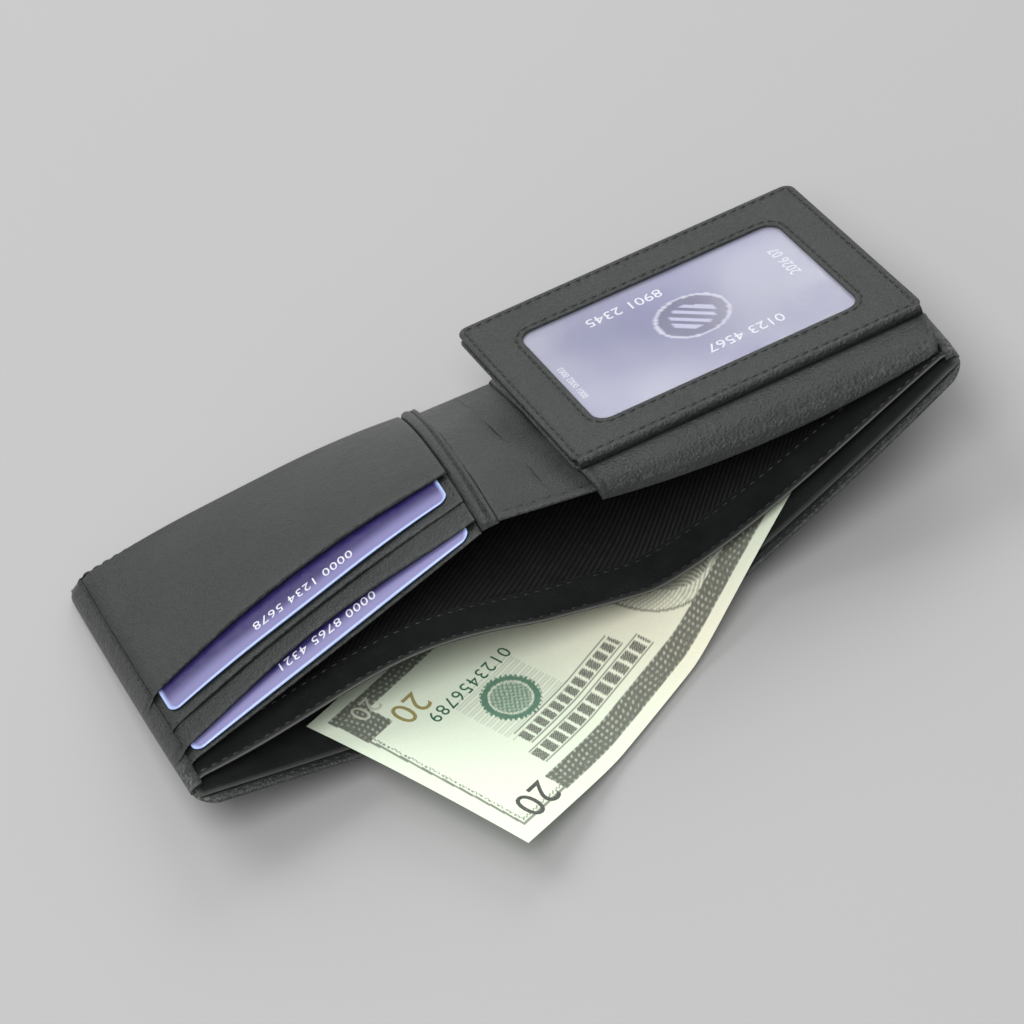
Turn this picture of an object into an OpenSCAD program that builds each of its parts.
// Folding leather wallet with a turn-over window flap, lying open.
// X runs across both leaves, Y from the open edge to the closed edge, Z up.
// The origin is on the table, under the middle of the spine's fold line.
//
// Every sheet is a slab on one rule. A line across the leather starts at the closed edge and
// follows a circular arc: it leaves the table at angle a0 and reaches angle a1 at the shell's
// near edge. How a0 and a1 change across the wallet gives each layer its lift and its twist.

/* [Wallet] */
// Half of the open wallet's width
half_w = 109; // [95:1:131]
// Shell, from the closed edge to the near edge
shell_d = 97; // [88:1:117]
// Closed edge's distance behind the fold's middle
back_y = 45; // [40:1:50]
// Flat strip of shell under the fold
spine_w = 24; // [20:1:30]
// Shell leather thickness
shell_t = 1.2; // [0.9:0.1:1.6]
// Rise of the shell's left end, in degrees
left_rise = 11; // [8:1:14]
// Rise of the shell's right end at the closed edge, in degrees
right_rise = 25; // [20:1:28]
// Rise of the shell's right end at the near edge, in degrees
right_rise_near = 17; // [13:1:20]

/* [Cash compartments] */
// Divider cloth, from the closed edge to its top edge
divider_d = 90; // [80:1:94]
// Lining and divider cloth thickness
cloth_t = 0.35; // [0.25:0.05:0.5]
// Suede band along the divider's top edge
band_w = 12; // [8:1:16]
// Suede band thickness
band_t = 0.5; // [0.4:0.1:0.8]
// Divider's bow above the shell, in degrees
divider_bow = 9.5; // [7:0.5:11]

/* [Inner panels] */
// Inner panels, from the closed edge to the near edge
panel_d = 86; // [80:1:90]
// Panel and pocket leather thickness
panel_t = 0.7; // [0.5:0.1:1.0]
// Lift of the seam beside the spine at the closed edge, in degrees
seam_rise = 44; // [38:1:46]
// Lift of the seam beside the spine at the near edge, in degrees
seam_rise_near = 4; // [2:1:8]
// Lift of the flap side of the spine at the closed edge, in degrees
hinge_rise = 29; // [26:1:32]
// Lift of the flap side of the spine at the near edge, in degrees
hinge_rise_near = 17; // [14:1:20]
// Seam's distance left of the fold at the closed edge
seam_x = 12.4; // [11:0.2:15]
// Seam's distance left of the fold at the near edge
seam_x_near = 17.2; // [15:0.2:19]
// Flap side's distance right of the fold
hinge_x = 9.4; // [8:0.2:11]
// Width of the turned seam
seam_w = 4.6; // [4:0.2:6]
// Height of the turned seam over the pockets at the closed edge
seam_h = 0.5; // [0.3:0.1:1]
// Height of the turned seam over the panel at the near edge
seam_h_near = 1.6; // [1.2:0.1:2.2]
// Sag of the right panel under the flap, in degrees
right_sag = 2.5; // [1.5:0.5:4]

/* [Pockets and cards] */
// Depth of the front card pocket
pocket_a_d = 59.5; // [54:0.5:64]
// Depth of the middle card pocket
pocket_b_d = 73; // [68:0.5:76]
// Depth of the rear card pocket
pocket_c_d = 80; // [77:0.5:83]
// Pocket ends kept back from the wallet's outer edge
pocket_margin = 1.2; // [1:0.2:3]
// Card width
card_w = 85.6; // [80:0.2:88]
// Card height
card_h = 54; // [50:0.5:56]
// Card thickness
card_t = 0.76; // [0.5:0.02:0.92]
// Near edge of the front card, from the closed edge
card_a_near = 70; // [66:0.5:72]
// Near edge of the rear card, from the closed edge
card_b_near = 85; // [83:0.5:87]
// Cards' distance from the wallet's left end
card_margin = 5.5; // [4:0.5:8]
// Lower pocket depth under the flap
right_pocket_a_d = 46; // [40:1:50]
// Upper pocket depth under the flap
right_pocket_b_d = 60; // [54:1:64]

/* [Flap] */
// Flap width
flap_w = 96.4; // [92:0.2:99]
// Flap depth
flap_d = 70.4; // [66:0.2:73]
// Flap corner radius
flap_r = 3; // [2:0.5:5]
// Leather of the window frame
frame_t = 0.8; // [0.7:0.1:1.2]
// Leather of the flap's back
flap_back_t = 0.8; // [0.7:0.1:1.2]
// Clear sheet thickness
clear_t = 0.25; // [0.2:0.05:0.4]
// Window width
window_w = 73; // [66:0.2:78]
// Window depth
window_d = 46.8; // [42:0.2:49]
// Window corner radius
window_r = 4; // [3:0.5:6]
// Clear sheet hidden under the frame on every side
clear_lap = 4; // [3:0.5:6]
// Hinge band's bulge
band_bulge = 2.6; // [2:0.2:4]

/* [Bank note] */
// Note length
note_l = 156; // [140:1:160]
// Note height
note_h = 66.3; // [60:0.1:70]
// Note thickness
note_t = 0.3; // [0.2:0.05:0.4]
// Turn of the note in the compartment, in degrees
note_turn = 28; // [24:1:31]

/* [Hidden] */

// Clearance between stacked sheets
gap = 0.2;
// Clearance on each face of a card in its pocket, and of the note in its compartment
card_gap = 0.6;
note_gap = 0.5;
// Clearance where two sheets meet at the fold line
fold_gap = 0.15;
// Cell sizes of the sheets' grids, as a share of the width and in millimetres
cell_u = 1 / 12;
cell_v = 7.2;
// Layers pinch together by this share at a stitched edge, within this distance of it
pinch_share = 0.68;
pinch_d = 4.4;
left_pinch_u = pinch_d / (half_w - seam_x);
right_pinch_u = pinch_d / (half_w - hinge_x);
// Bow of the divider: its middle and its spread, then its clearance over the shell, in degrees
bow_x = -37;
bow_spread = 48;
bow_clear = 1.1;
// Share of the bow at the closed edge and at the shell's near edge
bow_back = 1.25;
bow_near = 0.75;

// Heights of the layers over the shell's underside
lining_z = shell_t + gap;
note_z = lining_z + cloth_t + note_gap;
divider_z = note_z + note_t + note_gap;
band_z = divider_z + cloth_t + gap;
panel_lining_z = band_z + band_t + gap;
panel_z = panel_lining_z + cloth_t + gap;
card_b_z = panel_z + panel_t + card_gap;
pocket_c_z = card_b_z + card_t + card_gap;
pocket_b_z = pocket_c_z + panel_t + gap;
card_a_z = pocket_b_z + panel_t + card_gap;
pocket_a_z = card_a_z + card_t + card_gap;
strip_lift = 0.8;
strip_z = panel_z + strip_lift;

// Heights of the flap's layers under its face
window_z = -frame_t - gap / 2 - clear_t;
id_z = window_z - gap / 2 - card_t;
flap_lining_z = id_z - gap / 2 - cloth_t;
flap_back_z = flap_lining_z - gap / 2 - flap_back_t;

// The flap's tilts about X, Y and Z, and its near left corner, from the right panel's near left corner
flap_tilt = [-11.9, 4.0, 1.8];
flap_from_panel = [-1.1, 7.75, 4.8];

// Share of the side's rise at x: 0 over the flat spine, then a straight V with a rounded foot
v_round = 5;
function v_ramp(s, full) = (sqrt(s * s + v_round * v_round) - v_round)
    / (sqrt(full * full + v_round * v_round) - v_round);
function v_share(x) = v_ramp(max(0, abs(x) - spine_w / 2), half_w - spine_w / 2);

// Run and rise of an arc of length v that turns from a0 to a1 over the shell's depth
function bend(a0, a1) = abs(a0 - a1) < 0.01 ? -0.01 : a0 - a1;
function arc_radius(a0, a1) = shell_d / (bend(a0, a1) * PI / 180);
function arc_run(v, a0, a1) = arc_radius(a0, a1) * (sin(a0) - sin(a0 - bend(a0, a1) * v / shell_d));
function arc_rise(v, a0, a1) = arc_radius(a0, a1) * (cos(a0 - bend(a0, a1) * v / shell_d) - cos(a0));

// Angles of the shell and of the divider at x, at the closed edge and at the near edge
function side_a0(x) = x < 0 ? left_rise : right_rise;
function side_a1(x) = x < 0 ? left_rise : right_rise_near;
function bow(x) = (divider_bow * exp(-pow((x - bow_x) / bow_spread, 2)) + bow_clear)
    * (1 - pow(x / half_w, 6));

// A raised near edge draws the ends of the wallet in a little
function drawn_in(x, v) = abs(x) < 1 ? x
    : x * (1 - 0.5 * pow(arc_rise(v, side_a0(x) * v_share(x), side_a1(x) * v_share(x)) / x, 2));

// Layers pinch together at the closed edge and at the outer ends
function pinch(share) = 1 - pinch_share * max(0, 1 - share);
function end_pinch(x) = pinch((half_w - abs(x)) / pinch_d);
function over_shell(h, ends, v) = h <= shell_t ? h : shell_t + (h - shell_t) * ends * pinch(v / pinch_d);

// Point at height h over the shell's underside, at x and at arc distance v from the closed edge
function shell_point(x, v, h) = let (a0 = side_a0(x) * v_share(x), a1 = side_a1(x) * v_share(x))
    [drawn_in(x, v), back_y - arc_run(v, a0, a1), arc_rise(v, a0, a1) + over_shell(h, end_pinch(x), v)];
function divider_point(x, v, h) = let (
        a0 = side_a0(x) * v_share(x) + bow_back * bow(x), a1 = side_a1(x) * v_share(x) + bow_near * bow(x)
    ) [drawn_in(x, v), back_y - arc_run(v, a0, a1), arc_rise(v, a0, a1) + over_shell(h, end_pinch(x), v)];

// Left panel: u runs from the outer end, 0, to the seam beside the spine, 1
function seam_at(v) = -seam_x - (seam_x_near - seam_x) * v / panel_d;
function left_point(u, v, h) = let (
        a0 = left_rise + (seam_rise - left_rise) * u, a1 = left_rise + (seam_rise_near - left_rise) * u,
        x = drawn_in(-half_w, v) * (1 - u) + seam_at(v) * u
    ) [x, back_y - arc_run(v, a0, a1), arc_rise(v, a0, a1) + over_shell(h, pinch(u / left_pinch_u), v)];

// Right panel: u runs from the flap side of the spine, 0, to the outer end, 1
function right_point(u, v, h) = let (
        sag = right_sag * 4 * u * (1 - u),
        a0 = hinge_rise + (right_rise - hinge_rise) * u - sag,
        a1 = hinge_rise_near + (right_rise_near - hinge_rise_near) * u - sag,
        x = hinge_x * (1 - u) + drawn_in(half_w, v) * u,
        ends = pinch((1 - u) / right_pinch_u)
    ) [x, back_y - arc_run(v, a0, a1), arc_rise(v, a0, a1) + over_shell(h, ends, v)];

// Spine strip: w runs from the seam, 0, to the flap side, 1
function strip_point(w, v, h) = let (
        a0 = seam_rise + (hinge_rise - seam_rise) * w,
        a1 = seam_rise_near + (hinge_rise_near - seam_rise_near) * w,
        x = seam_at(v) * (1 - w) + hinge_x * w
    ) [x, back_y - arc_run(v, a0, a1), arc_rise(v, a0, a1) + over_shell(h, 1, v)];

// a, b and, between them, every multiple of d and the line where the layers are pinched no more
function between(a, b, values) = concat([a], [for (x = values) if (x > a + 0.01 * (b - a) && x < b) x], [b]);
function multiples(b, d, extra) = [
    for (k = [0:ceil(b / d)]) each (k * d < extra && (k + 1) * d >= extra) ? [k * d, extra] : [k * d]
];
function rows(a, b) = between(a, b, multiples(b, cell_v, pinch_d));
function left_cols(a, b) = between(a, b, multiples(b, cell_u, left_pinch_u));
function right_cols(a, b) = [
    for (u = reverse(between(1 - b, 1 - a, multiples(1, cell_u, right_pinch_u)))) 1 - u
];
function reverse(list) = [for (k = [len(list) - 1:-1:0]) list[k]];

// A closed slab between a lower and an upper grid of points, as rows of the same length
module slab(low, high) {
    rows = len(low);
    cols = len(low[0]);
    n = rows * cols;
    end = rows - 1;
    function at(j, i) = j * cols + i;
    quads = concat(
        [for (j = [0:rows - 2]) for (i = [0:cols - 2])
            [at(j, i), at(j, i + 1), at(j + 1, i + 1), at(j + 1, i)]],
        [for (j = [0:rows - 2]) for (i = [0:cols - 2])
            [n + at(j, i), n + at(j + 1, i), n + at(j + 1, i + 1), n + at(j, i + 1)]],
        [for (i = [0:cols - 2]) [at(0, i + 1), at(0, i), n + at(0, i), n + at(0, i + 1)]],
        [for (i = [0:cols - 2]) [at(end, i), at(end, i + 1), n + at(end, i + 1), n + at(end, i)]],
        [for (j = [0:rows - 2]) [at(j, 0), at(j + 1, 0), n + at(j + 1, 0), n + at(j, 0)]],
        [for (j = [0:rows - 2])
            [at(j + 1, cols - 1), at(j, cols - 1), n + at(j, cols - 1), n + at(j + 1, cols - 1)]]
    );
    polyhedron(
        points = concat([for (row = low) each row], [for (row = high) each row]),
        faces = [for (q = quads) each [[q[0], q[1], q[2]], [q[0], q[2], q[3]]]]
    );
}

// A sheet of thickness t at height h, on one of the point functions, over columns us and rows vs
module sheet(point, us, vs, h, t) {
    slab(
        [for (v = vs) [for (u = us) point(u, v, h)]],
        [for (v = vs) [for (u = us) point(u, v, h + t)]]
    );
}

// Columns of the left and right leaves' long sheets
leaf_cells = 8;
leaf_x = half_w - pinch_d - spine_w / 2;
left_xs = concat([-half_w], [
    for (k = [0:leaf_cells]) -half_w + pinch_d + leaf_x * k / leaf_cells - (k == leaf_cells ? fold_gap : 0)
]);
mid_left_xs = concat(left_xs, [-spine_w / 4, -fold_gap]);
right_xs = -reverse(left_xs);
mid_right_xs = -reverse(mid_left_xs);

// ---- outer shell ----
module shell_spine() {
    color("#2b2f2d") translate([-spine_w / 2, back_y - shell_d, 0]) cube([spine_w, shell_d, shell_t]);
}

module shell_left() {
    color("#2b2f2d") sheet(function (x, v, h) shell_point(x, v, h), left_xs, rows(0, shell_d), 0, shell_t);
}

module shell_right() {
    color("#2b2f2d") sheet(function (x, v, h) shell_point(x, v, h), right_xs, rows(0, shell_d), 0, shell_t);
}

// ---- cloth linings of the cash compartments ----
lining_margin = 3;
lining_d = shell_d - lining_margin;

module shell_lining_left() {
    color("#1c1e1f")
        sheet(function (x, v, h) shell_point(x, v, h), mid_left_xs, rows(0, lining_d), lining_z, cloth_t);
}

module shell_lining_right() {
    color("#1c1e1f")
        sheet(function (x, v, h) shell_point(x, v, h), mid_right_xs, rows(0, lining_d), lining_z, cloth_t);
}

// ---- divider between the two compartments, with its suede top band ----
module divider_left() {
    color("#232528")
        sheet(function (x, v, h) divider_point(x, v, h), mid_left_xs, rows(0, divider_d), divider_z, cloth_t);
}

module divider_right() {
    color("#232528")
        sheet(
            function (x, v, h) divider_point(x, v, h), mid_right_xs, rows(0, divider_d),
            divider_z, cloth_t
        );
}

module divider_band(xs) {
    color("#151716")
        sheet(
            function (x, v, h) divider_point(x, v, h), xs, rows(divider_d - band_w, divider_d),
            band_z, band_t
        );
}

module divider_band_left() {
    divider_band(mid_left_xs);
}

module divider_band_right() {
    divider_band(mid_right_xs);
}

// ---- left inner panel and its three card pockets ----
seam_u = 1 - (seam_w / 2 + 2 * gap) / (half_w - seam_x);

module left_sheet(vs, h, t, u_start = 0) {
    sheet(function (u, v, h) left_point(u, v, h), left_cols(u_start, seam_u), vs, h, t);
}

module left_panel_lining() {
    color("#232528") left_sheet(rows(0, panel_d), panel_lining_z, cloth_t);
}

module left_panel() {
    color("#313634") left_sheet(rows(0, panel_d), panel_z, panel_t);
}

pocket_u = pocket_margin / half_w;

module left_pocket_rear() {
    color("#353a38") left_sheet(rows(0, pocket_c_d), pocket_c_z, panel_t, pocket_u);
}

module left_pocket_middle() {
    color("#353a38") left_sheet(rows(0, pocket_b_d), pocket_b_z, panel_t, pocket_u);
}

module left_pocket_front() {
    color("#3a403d") left_sheet(rows(0, pocket_a_d), pocket_a_z, panel_t, pocket_u);
}

// Turned seam beside the spine: a low rounded ridge that closes the pockets' inner ends
module left_seam() {
    across = [for (k = [0:6]) k / 6];
    stack = pocket_a_z + panel_t - panel_z;
    function top(v) = panel_z + (stack + seam_h) * (1 - v / panel_d) + seam_h_near * v / panel_d;
    function ridge(s, v) = panel_z + (top(v) - panel_z) * (0.6 + 0.4 * sqrt(1 - pow(2 * s - 1, 4)));
    function seam_point(s, v, h) = let (p = left_point(1, v, h)) [p[0] + (s - 0.5) * seam_w, p[1], p[2]];
    vs = rows(0, panel_d);
    color("#2b2f2d")
        slab(
            [for (v = vs) [for (s = across) seam_point(s, v, panel_z)]],
            [for (v = vs) [for (s = across) seam_point(s, v, ridge(s, v))]]
        );
}

// ---- leather strip over the fold, in two halves that meet at the fold line ----
function strip_w(x, v) = (x - seam_at(v)) / (hinge_x - seam_at(v));

module spine_strip(from_seam) {
    function column(k, v) = from_seam
        ? strip_w(seam_at(v) + seam_w / 2 + gap, v) * (1 - k) + strip_w(-fold_gap, v) * k
        : strip_w(fold_gap, v) * (1 - k) + strip_w(hinge_x - gap, v) * k;
    vs = rows(0, panel_d);
    ks = [0, 0.5, 1];
    color("#313634")
        slab(
            [for (v = vs) [for (k = ks) strip_point(column(k, v), v, strip_z)]],
            [for (v = vs) [for (k = ks) strip_point(column(k, v), v, strip_z + panel_t)]]
        );
}

module spine_strip_left() {
    spine_strip(true);
}

module spine_strip_right() {
    spine_strip(false);
}

// ---- right inner panel and its two pockets under the flap ----
module right_sheet(vs, h, t, u_end = 1) {
    sheet(function (u, v, h) right_point(u, v, h), right_cols(0.5 / half_w, u_end), vs, h, t);
}

module right_panel_lining() {
    color("#232528") right_sheet(rows(0, panel_d), panel_lining_z, cloth_t);
}

module right_panel() {
    color("#313634") right_sheet(rows(0, panel_d), panel_z, panel_t);
}

right_rear_z = panel_z + panel_t + gap;
right_front_z = right_rear_z + panel_t + gap;

module right_pocket_upper() {
    color("#353a38") right_sheet(rows(0, right_pocket_b_d), right_rear_z, panel_t, 1 - pocket_u);
}

module right_pocket_lower() {
    color("#353a38") right_sheet(rows(0, right_pocket_a_d), right_front_z, panel_t, 1 - pocket_u);
}

// ---- flap: a window frame, a clear sheet, an ID card, a lining and a leather back ----
flap_at = right_point(0, panel_d, panel_z) + flap_from_panel;

module on_flap() {
    translate(flap_at) rotate(flap_tilt) children();
}

module rounded(w, d, r) {
    translate([r, r]) circle(r, $fn = 32);
    translate([w - r, r]) circle(r, $fn = 32);
    translate([r, d - r]) circle(r, $fn = 32);
    translate([w - r, d - r]) circle(r, $fn = 32);
    translate([r, 0]) square([w - 2 * r, d]);
    translate([0, r]) square([w, d - 2 * r]);
}

// The window sits a little nearer to the hinge than the middle
window_shift = -0.8;
window_at = [(flap_w - window_w) / 2, (flap_d - window_d) / 2 + window_shift];
flap_lining_margin = 2;
card_r = 3;

module flap_frame() {
    color("#363b39") on_flap() translate([0, 0, -frame_t]) difference() {
        linear_extrude(frame_t) rounded(flap_w, flap_d, flap_r);
        translate([window_at[0], window_at[1], -1])
            linear_extrude(frame_t + 2) rounded(window_w, window_d, window_r);
    }
}

module flap_window() {
    color("#c9ccd6", 0.35) on_flap() translate([window_at[0] - clear_lap, window_at[1] - clear_lap, window_z])
        linear_extrude(clear_t) rounded(window_w + 2 * clear_lap, window_d + 2 * clear_lap, window_r);
}

module flap_lining() {
    margin = flap_lining_margin;
    color("#232528") on_flap() translate([margin, margin, flap_lining_z]) linear_extrude(cloth_t)
        rounded(flap_w - 2 * margin, flap_d - 2 * margin, flap_r);
}

module flap_back() {
    color("#2b2f2d") on_flap() translate([0, 0, flap_back_z]) linear_extrude(flap_back_t)
        rounded(flap_w, flap_d, flap_r);
}

module id_card() {
    id_at = [(flap_w - card_w) / 2, window_at[1] + (window_d - card_h) / 2, id_z];
    color("#a9a9c9") on_flap() translate(id_at) linear_extrude(card_t) rounded(card_w, card_h, card_r);
}

// Curved band that joins the flap's back to the right panel's near edge
flap_cols = [for (k = [0:8]) k / 8];
function turn_x(p, a) = [p[0], p[1] * cos(a) - p[2] * sin(a), p[1] * sin(a) + p[2] * cos(a)];
function turn_y(p, a) = [p[0] * cos(a) + p[2] * sin(a), p[1], p[2] * cos(a) - p[0] * sin(a)];
function turn_z(p, a) = [p[0] * cos(a) - p[1] * sin(a), p[0] * sin(a) + p[1] * cos(a), p[2]];
function on_flap_point(p) = flap_at
    + turn_z(turn_y(turn_x(p, flap_tilt[0]), flap_tilt[1]), flap_tilt[2]);

// The band's leather, its ends kept back from the flap's corners, its reach along the panel and its
// height over the panel's underside
band_leather_t = panel_t + 0.2;
band_end = 0.5;
band_u = [0.004, 0.954];
band_foot = 0.3;

module flap_hinge_band() {
    t = band_leather_t;
    outwards = [0, -0.7, 0.7];
    steps = [1, 0.75, 0.5, 0.25, 0];
    function upper(k) = on_flap_point([band_end + (flap_w - 2 * band_end) * k, -gap - t / 2, flap_lining_z]);
    function lower(k) = right_point(band_u[0] + (band_u[1] - band_u[0]) * k, panel_d, panel_z + band_foot)
        - [0, 6 * gap + t, 0];
    function across(k, s, out) = upper(k) * (1 - s) + lower(k) * s
        + outwards * (band_bulge * sin(180 * s) + out);
    color("#2f3432")
        slab(
            [for (s = steps) [for (k = flap_cols) across(k, s, -t / 2)]],
            [for (s = steps) [for (k = flap_cols) across(k, s, t / 2)]]
        );
}

// ---- cards in the left pockets ----
module pocket_card(near, h) {
    u0 = card_margin / (half_w - seam_x);
    u1 = u0 + card_w / (half_w - seam_x);
    sheet(
        function (u, v, h) left_point(u, v, h), left_cols(u0, min(u1, seam_u - 0.002)),
        rows(near - card_h, near), h, card_t
    );
}

module card_front() {
    color("#7f7bb8") pocket_card(card_a_near, card_a_z);
}

module card_rear() {
    color("#7f7bb8") pocket_card(card_b_near, card_b_z);
}

// ---- bank note lying across the fold, between the shell's lining and the divider ----
// s runs along the note and r across it; its turned outline is cut by the fold line.
// The note's near corner is at this x, and this far beyond the shell's near edge
note_x0 = -45;
note_out = 44;
note_corner = [note_x0, shell_d + note_out];
function note_x(s, r) = note_corner[0] + s * cos(note_turn) - r * sin(note_turn);
function note_v(s, r) = note_corner[1] - s * sin(note_turn) - r * cos(note_turn);
function note_s(x, r) = (x - note_corner[0] + r * sin(note_turn)) / cos(note_turn);

module note_part(s_start, s_end) {
    rs = [for (k = [0:6]) note_h * k / 6];
    function row(r, h) = [for (k = [0:8]) let (
            s = s_start(r) + (s_end(r) - s_start(r)) * k / 8
        ) shell_point(note_x(s, r), note_v(s, r), h)];
    color("#d9dfc4")
        slab([for (r = rs) row(r, note_z)], [for (r = rs) row(r, note_z + note_t)]);
}

module note_left() {
    note_part(function (r) 0, function (r) note_s(-fold_gap, r));
}

module note_right() {
    note_part(function (r) note_s(fold_gap, r), function (r) note_l);
}

shell_spine();
shell_right();
shell_lining_right();
divider_right();
divider_band_right();
right_panel_lining();
right_panel();
right_pocket_upper();
right_pocket_lower();
spine_strip_right();
flap_hinge_band();
shell_left();
shell_lining_left();
divider_left();
divider_band_left();
left_panel_lining();
left_panel();
left_pocket_rear();
left_pocket_middle();
left_pocket_front();
left_seam();
spine_strip_left();
flap_back();
flap_lining();
flap_window();
flap_frame();
id_card();
card_front();
card_rear();
note_left();
note_right();
